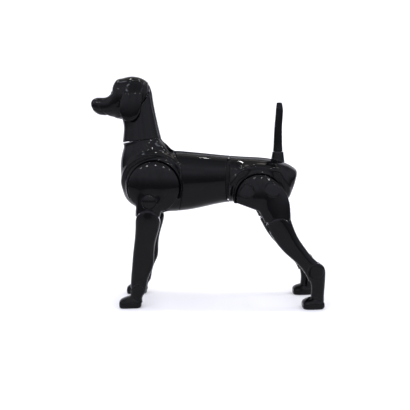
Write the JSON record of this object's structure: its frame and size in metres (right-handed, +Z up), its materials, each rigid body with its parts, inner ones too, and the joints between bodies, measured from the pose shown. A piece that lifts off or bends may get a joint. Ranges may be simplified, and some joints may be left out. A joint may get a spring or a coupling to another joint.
{
  "type": "posable dog mannequin",
  "caption": "Passive posable display dog in glossy moulded plastic, standing, with friction pivots at neck, head, waist, tail, shoulders, elbows, wrists, hips, knees and hocks.",
  "frame": {"origin": "on the floor, under the middle of the dog's box", "axes": "+Z up, the dog faces -X, its left side is at -Y"},
  "size_m": [0.4825, 0.1402, 0.4698],
  "materials": {
    "shell_plastic": "high-gloss black moulding",
    "inner_nylon": "matt black nylon",
    "pivot_steel": "turned steel"
  },
  "bodies": {
    "chest": {"chest_shell_left": "shell_plastic", "chest_shell_right": "shell_plastic", "middle_shell_left": "shell_plastic", "middle_shell_right": "shell_plastic", "joining_ring": "inner_nylon", "waist_front_bracket": "inner_nylon", "body_screws": "pivot_steel"},
    "rear": {"rear_shell_left": "shell_plastic", "rear_shell_right": "shell_plastic", "waist_rear_bracket": "inner_nylon", "waist_pin": "pivot_steel", "rear_screws": "pivot_steel", "tail_collar": "shell_plastic"},
    "neck": {"neck_shell_left": "shell_plastic", "neck_shell_right": "shell_plastic", "neck_post": "inner_nylon", "neck_pivot": "pivot_steel", "neck_screws": "pivot_steel"},
    "head": {"head_shell_left": "shell_plastic", "head_shell_right": "shell_plastic", "ear_left": "shell_plastic", "ear_right": "shell_plastic", "nod_pin": "pivot_steel"},
    "tail": {"tail": "shell_plastic"},
    "upper_arm_left": {"upper_arm_left": "shell_plastic", "shoulder_plug_left": "shell_plastic", "shoulder_pivot_left": "pivot_steel", "elbow_link_left": "inner_nylon"},
    "forearm_left": {"forearm_outer_left": "shell_plastic", "forearm_inner_left": "shell_plastic", "elbow_pin_left": "pivot_steel"},
    "front_foot_left": {"front_paw_left": "shell_plastic", "wrist_pin_left": "pivot_steel"},
    "thigh_left": {"thigh_outer_left": "shell_plastic", "thigh_inner_left": "shell_plastic", "hip_pivot_left": "pivot_steel", "knee_link_left": "inner_nylon"},
    "shank_left": {"shank_outer_left": "shell_plastic", "shank_inner_left": "shell_plastic", "knee_pin_left": "pivot_steel"},
    "hind_foot_left": {"hind_foot_left": "shell_plastic", "hock_pin_left": "pivot_steel"},
    "upper_arm_right": {"upper_arm_right": "shell_plastic", "shoulder_plug_right": "shell_plastic", "shoulder_pivot_right": "pivot_steel", "elbow_link_right": "inner_nylon"},
    "forearm_right": {"forearm_outer_right": "shell_plastic", "forearm_inner_right": "shell_plastic", "elbow_pin_right": "pivot_steel"},
    "front_foot_right": {"front_paw_right": "shell_plastic", "wrist_pin_right": "pivot_steel"},
    "thigh_right": {"thigh_outer_right": "shell_plastic", "thigh_inner_right": "shell_plastic", "hip_pivot_right": "pivot_steel", "knee_link_right": "inner_nylon"},
    "shank_right": {"shank_outer_right": "shell_plastic", "shank_inner_right": "shell_plastic", "knee_pin_right": "pivot_steel"},
    "hind_foot_right": {"hind_foot_right": "shell_plastic", "hock_pin_right": "pivot_steel"}
  },
  "joints": [
    {"name": "waist_bend", "type": "hinge", "parent": "chest", "child": "rear", "pos_m": [0.047, 0, 0.261], "axis": [0, 0, 1], "range_deg": [-7, 7]},
    {"name": "neck_turn", "type": "hinge", "parent": "chest", "child": "neck", "pos_m": [-0.137, 0, 0.3415], "axis": [-0.1483, 0, 0.9889], "range_deg": [-60, 60]},
    {"name": "head_nod", "type": "hinge", "parent": "neck", "child": "head", "pos_m": [-0.179, 0, 0.442], "axis": [0, 1, 0], "range_deg": [-15, 18]},
    {"name": "tail_turn", "type": "hinge", "parent": "rear", "child": "tail", "pos_m": [0.147, 0, 0.31], "axis": [0, 0, 1], "range_deg": [-180, 180]},
    {"name": "shoulder_left", "type": "hinge", "parent": "chest", "child": "upper_arm_left", "pos_m": [-0.108, -0.052, 0.245], "axis": [0, 1, 0], "range_deg": [-25, 25]},
    {"name": "elbow_left", "type": "hinge", "parent": "upper_arm_left", "child": "forearm_left", "pos_m": [-0.1195, -0.052, 0.175], "axis": [0, 1, 0], "range_deg": [-20, 30]},
    {"name": "wrist_left", "type": "hinge", "parent": "forearm_left", "child": "front_foot_left", "pos_m": [-0.141, -0.052, 0.033], "axis": [0, 1, 0], "range_deg": [-15, 40]},
    {"name": "hip_left", "type": "hinge", "parent": "rear", "child": "thigh_left", "pos_m": [0.104, -0.052, 0.226], "axis": [0, 1, 0], "range_deg": [-20, 25]},
    {"name": "knee_left", "type": "hinge", "parent": "thigh_left", "child": "shank_left", "pos_m": [0.1435, -0.052, 0.1595], "axis": [0, 1, 0], "range_deg": [0, 30]},
    {"name": "hock_left", "type": "hinge", "parent": "shank_left", "child": "hind_foot_left", "pos_m": [0.222, -0.052, 0.078], "axis": [0, 1, 0], "range_deg": [-30, 0]},
    {"name": "shoulder_right", "type": "hinge", "parent": "chest", "child": "upper_arm_right", "pos_m": [-0.108, 0.052, 0.245], "axis": [0, 1, 0], "range_deg": [-25, 25]},
    {"name": "elbow_right", "type": "hinge", "parent": "upper_arm_right", "child": "forearm_right", "pos_m": [-0.1195, 0.052, 0.175], "axis": [0, 1, 0], "range_deg": [-20, 30]},
    {"name": "wrist_right", "type": "hinge", "parent": "forearm_right", "child": "front_foot_right", "pos_m": [-0.141, 0.052, 0.033], "axis": [0, 1, 0], "range_deg": [-15, 40]},
    {"name": "hip_right", "type": "hinge", "parent": "rear", "child": "thigh_right", "pos_m": [0.104, 0.052, 0.226], "axis": [0, 1, 0], "range_deg": [-20, 25]},
    {"name": "knee_right", "type": "hinge", "parent": "thigh_right", "child": "shank_right", "pos_m": [0.1435, 0.052, 0.1595], "axis": [0, 1, 0], "range_deg": [0, 30]},
    {"name": "hock_right", "type": "hinge", "parent": "shank_right", "child": "hind_foot_right", "pos_m": [0.222, 0.052, 0.078], "axis": [0, 1, 0], "range_deg": [-30, 0]}
  ]
}
